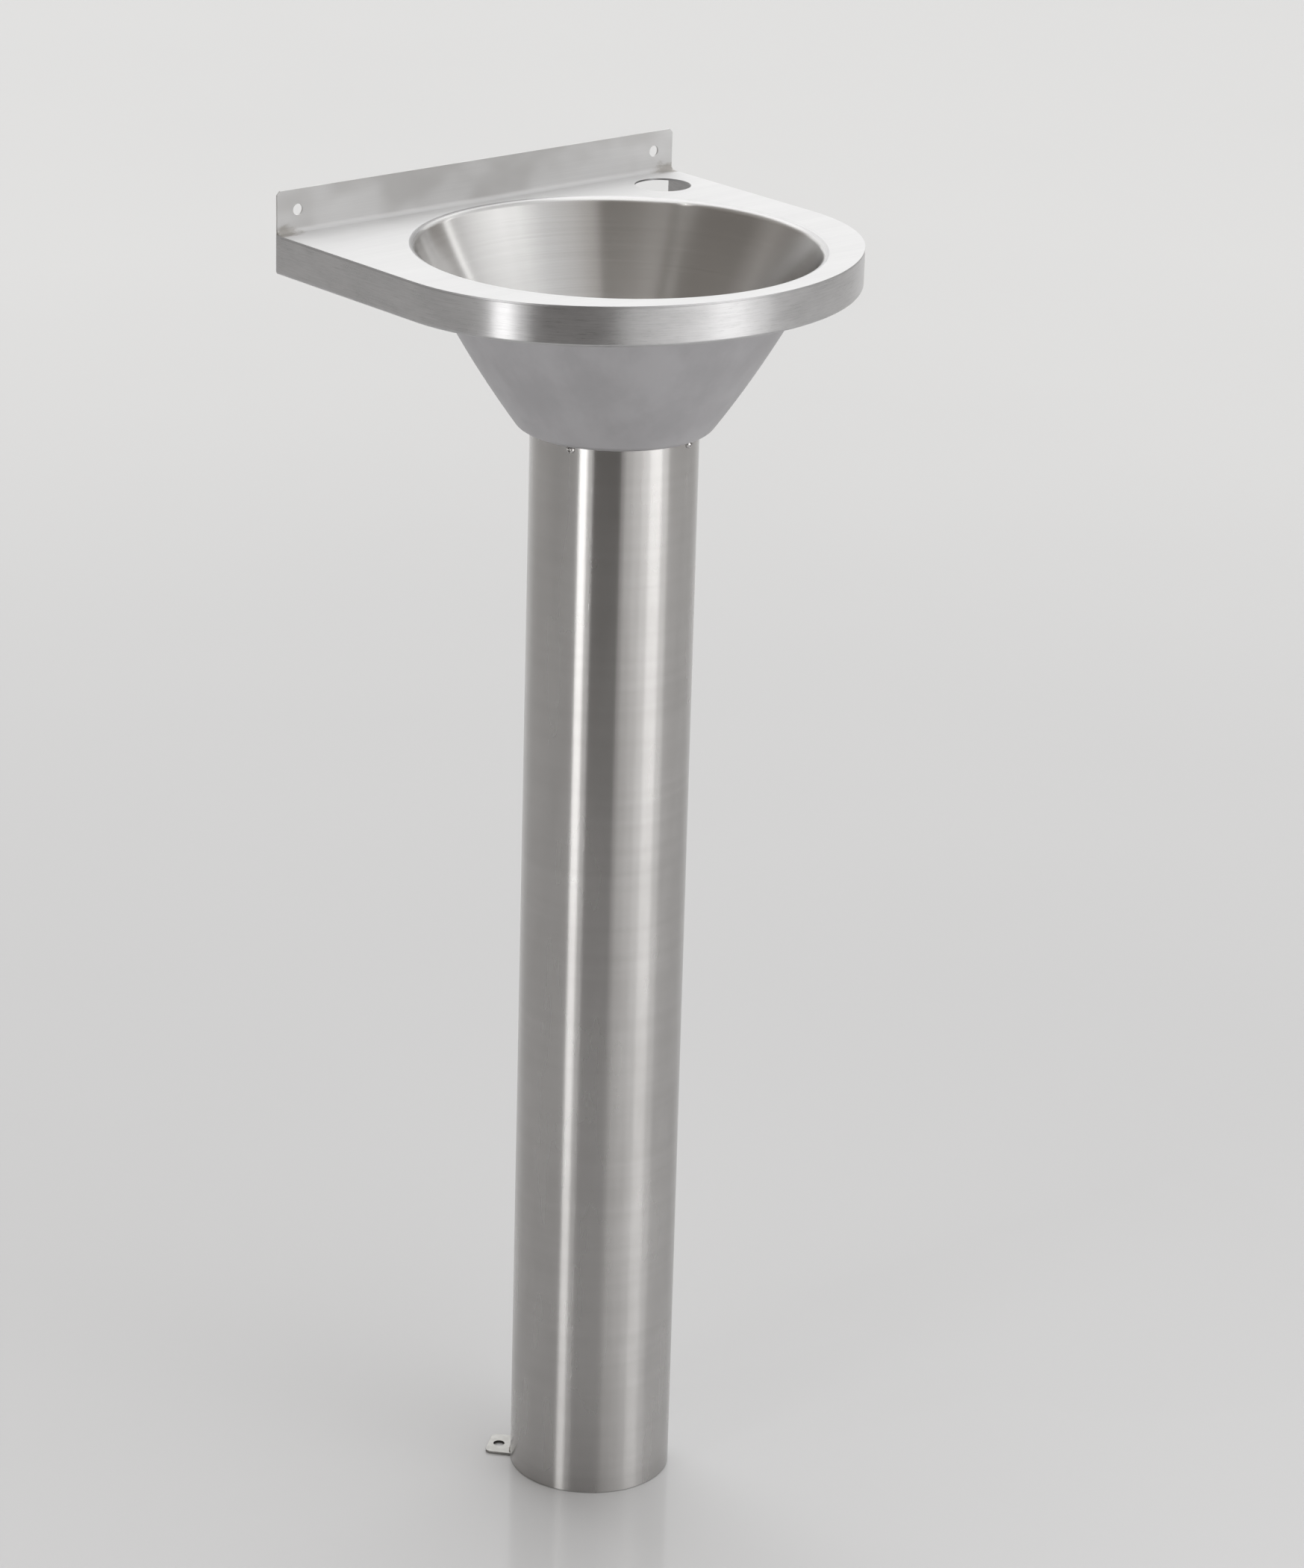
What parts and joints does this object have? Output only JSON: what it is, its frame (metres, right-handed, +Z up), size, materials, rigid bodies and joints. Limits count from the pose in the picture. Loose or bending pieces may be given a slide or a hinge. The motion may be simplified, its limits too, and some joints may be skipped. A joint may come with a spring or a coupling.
{
  "type": "washbasin",
  "caption": "Freestanding stainless steel washbasin: a D-shaped deck with a tapered round bowl and a wall upstand, on a tubular column that hides the drain.",
  "frame": {"origin": "axis of the column at floor level, which is also the axis of the bowl and of the outlet pipe", "axes": "+X along the wall to the right as seen from the room, +Y to the wall, +Z up"},
  "size_m": [0.305, 0.2695, 0.826],
  "materials": {
    "sheet_steel": "satin, brushed",
    "screw_steel": "bright",
    "seal_rubber": "matt",
    "drain_plastic": "smooth"
  },
  "bodies": {
    "root": {"deck": "sheet_steel", "bowl": "sheet_steel", "apron": "sheet_steel", "column_collar": "sheet_steel", "column": "sheet_steel", "collar_screws": "screw_steel", "floor_tab_left": "sheet_steel", "floor_tab_right": "sheet_steel", "strainer": "sheet_steel", "strainer_screw": "screw_steel", "strainer_seal": "seal_rubber", "waste_gasket": "seal_rubber", "waste_body": "drain_plastic", "waste_nut": "drain_plastic", "waste_cone_seal": "seal_rubber", "tailpipe": "drain_plastic", "trap_inlet_nut": "drain_plastic", "trap_inlet_seal": "seal_rubber", "trap_cap": "drain_plastic", "trap_cap_seal": "seal_rubber", "trap_cup": "drain_plastic", "trap_body": "drain_plastic", "outlet_seal": "seal_rubber", "outlet_pipe": "drain_plastic"}
  },
  "joints": []
}
